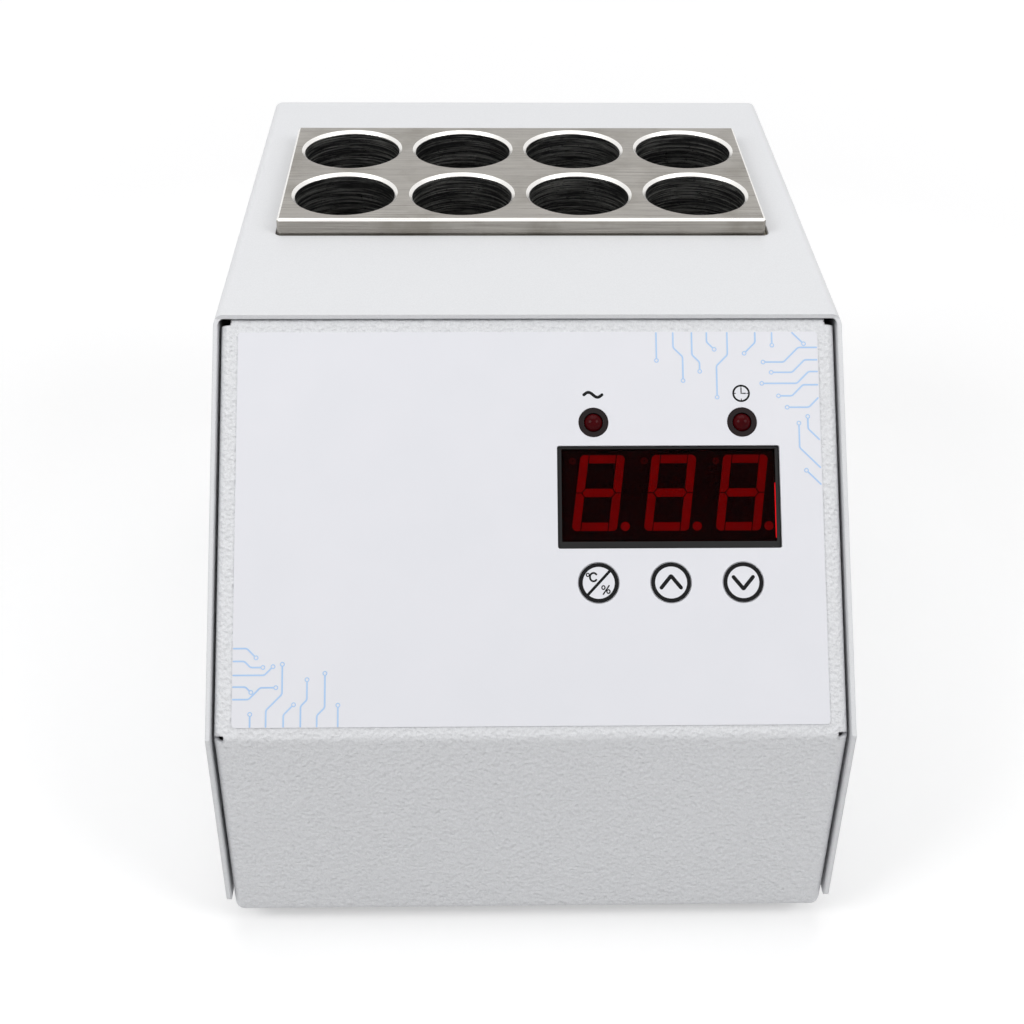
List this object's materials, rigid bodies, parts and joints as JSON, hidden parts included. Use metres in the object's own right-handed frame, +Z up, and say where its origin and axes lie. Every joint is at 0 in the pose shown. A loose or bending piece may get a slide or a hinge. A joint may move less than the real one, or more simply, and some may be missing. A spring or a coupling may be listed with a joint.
{
  "type": "dry bath incubator",
  "caption": "Bench dry bath in a folded sheet case: sloped control panel with red display and round keys, heating block with two rows of open wells.",
  "frame": {"origin": "centre of the footprint on the bench, under the feet", "axes": "+Z up, front with the panel faces -Y, +X to the right of the user"},
  "size_m": [0.172, 0.2384, 0.158],
  "materials": {
    "case_coat": "fine-textured powder coat",
    "label_film": "satin printed film",
    "black_plastic": "moulded matt",
    "filter_red": "dark red acrylic",
    "segment_red": "unlit diffuser",
    "lamp_red": "tinted epoxy",
    "key_white": "satin",
    "block_aluminium": "machined and brushed",
    "sheet_steel": "zinc plated",
    "fastener_steel": "bright plated",
    "foot_rubber": "matt",
    "board_green": "solder mask",
    "foam": "ceramic fibre felt",
    "mat_silicone": "silicone",
    "lead_sleeve": "extruded",
    "earth_sleeve": "extruded",
    "ribbon_grey": "extruded",
    "lamination": "varnished",
    "component_black": "moulded",
    "relay_blue": "moulded",
    "terminal_green": "moulded",
    "pin_brass": "plated",
    "fuse_glass": "clear"
  },
  "bodies": {
    "case": {"chassis": "case_coat", "top_cover": "case_coat", "front_label": "label_film", "display_bezel": "black_plastic", "display_filter": "filter_red", "display_housing": "component_black", "display_segments": "segment_red", "display_pins": "pin_brass", "lamp_holders": "black_plastic", "lamp_power": "lamp_red", "lamp_timer": "lamp_red", "tact_switches": "component_black", "display_board": "board_green", "display_board_parts": "component_black", "display_standoffs": "pin_brass", "board_screws": "fastener_steel", "ribbon_cable": "ribbon_grey", "ribbon_connectors": "component_black", "heating_block": "block_aluminium", "heater_mat": "mat_silicone", "clamp_plate": "sheet_steel", "insulation_pad": "foam", "insulation_jacket": "foam", "block_carrier": "sheet_steel", "block_screws": "fastener_steel", "carrier_screws": "fastener_steel", "temperature_probe": "fastener_steel", "thermal_cutout": "component_black", "control_board": "board_green", "board_standoffs": "pin_brass", "transformer": "lamination", "power_relay": "relay_blue", "triac": "component_black", "heat_sink": "sheet_steel", "terminal_block": "terminal_green", "capacitors": "component_black", "power_inlet": "black_plastic", "inlet_pins": "pin_brass", "inlet_screws": "fastener_steel", "switch_body": "black_plastic", "switch_terminals": "pin_brass", "feet": "foot_rubber", "foot_screws": "fastener_steel", "cover_screws": "fastener_steel", "cover_nuts": "fastener_steel", "earth_stud": "pin_brass", "mains_leads": "lead_sleeve", "heater_leads": "lead_sleeve", "probe_lead": "ribbon_grey", "probe_plug": "component_black", "earth_lead": "earth_sleeve"},
    "mode_key": {"key_mode": "key_white", "plunger_mode": "component_black"},
    "raise_key": {"key_raise": "key_white", "plunger_raise": "component_black"},
    "lower_key": {"key_lower": "key_white", "plunger_lower": "component_black"},
    "switch_rocker": {"rocker": "black_plastic"},
    "fuse_holder": {"fuse_drawer": "black_plastic", "fuses": "fuse_glass"}
  },
  "joints": [
    {"name": "mode_key_press", "type": "slide", "parent": "case", "child": "mode_key", "axis": [0, 0.7362, -0.6768], "range_m": [0, 0.0005], "stiffness_N_per_m": 1500},
    {"name": "raise_key_press", "type": "slide", "parent": "case", "child": "raise_key", "axis": [0, 0.7362, -0.6768], "range_m": [0, 0.0005], "stiffness_N_per_m": 1500},
    {"name": "lower_key_press", "type": "slide", "parent": "case", "child": "lower_key", "axis": [0, 0.7362, -0.6768], "range_m": [0, 0.0005], "stiffness_N_per_m": 1500},
    {"name": "rocker_tilt", "type": "hinge", "parent": "case", "child": "switch_rocker", "pos_m": [-0.042, 0.11284, 0.042], "axis": [1, 0, 0], "range_deg": [0, 20]},
    {"name": "fuse_drawer_slide", "type": "slide", "parent": "case", "child": "fuse_holder", "axis": [0, 1, 0], "range_m": [0, 0.02]}
  ]
}
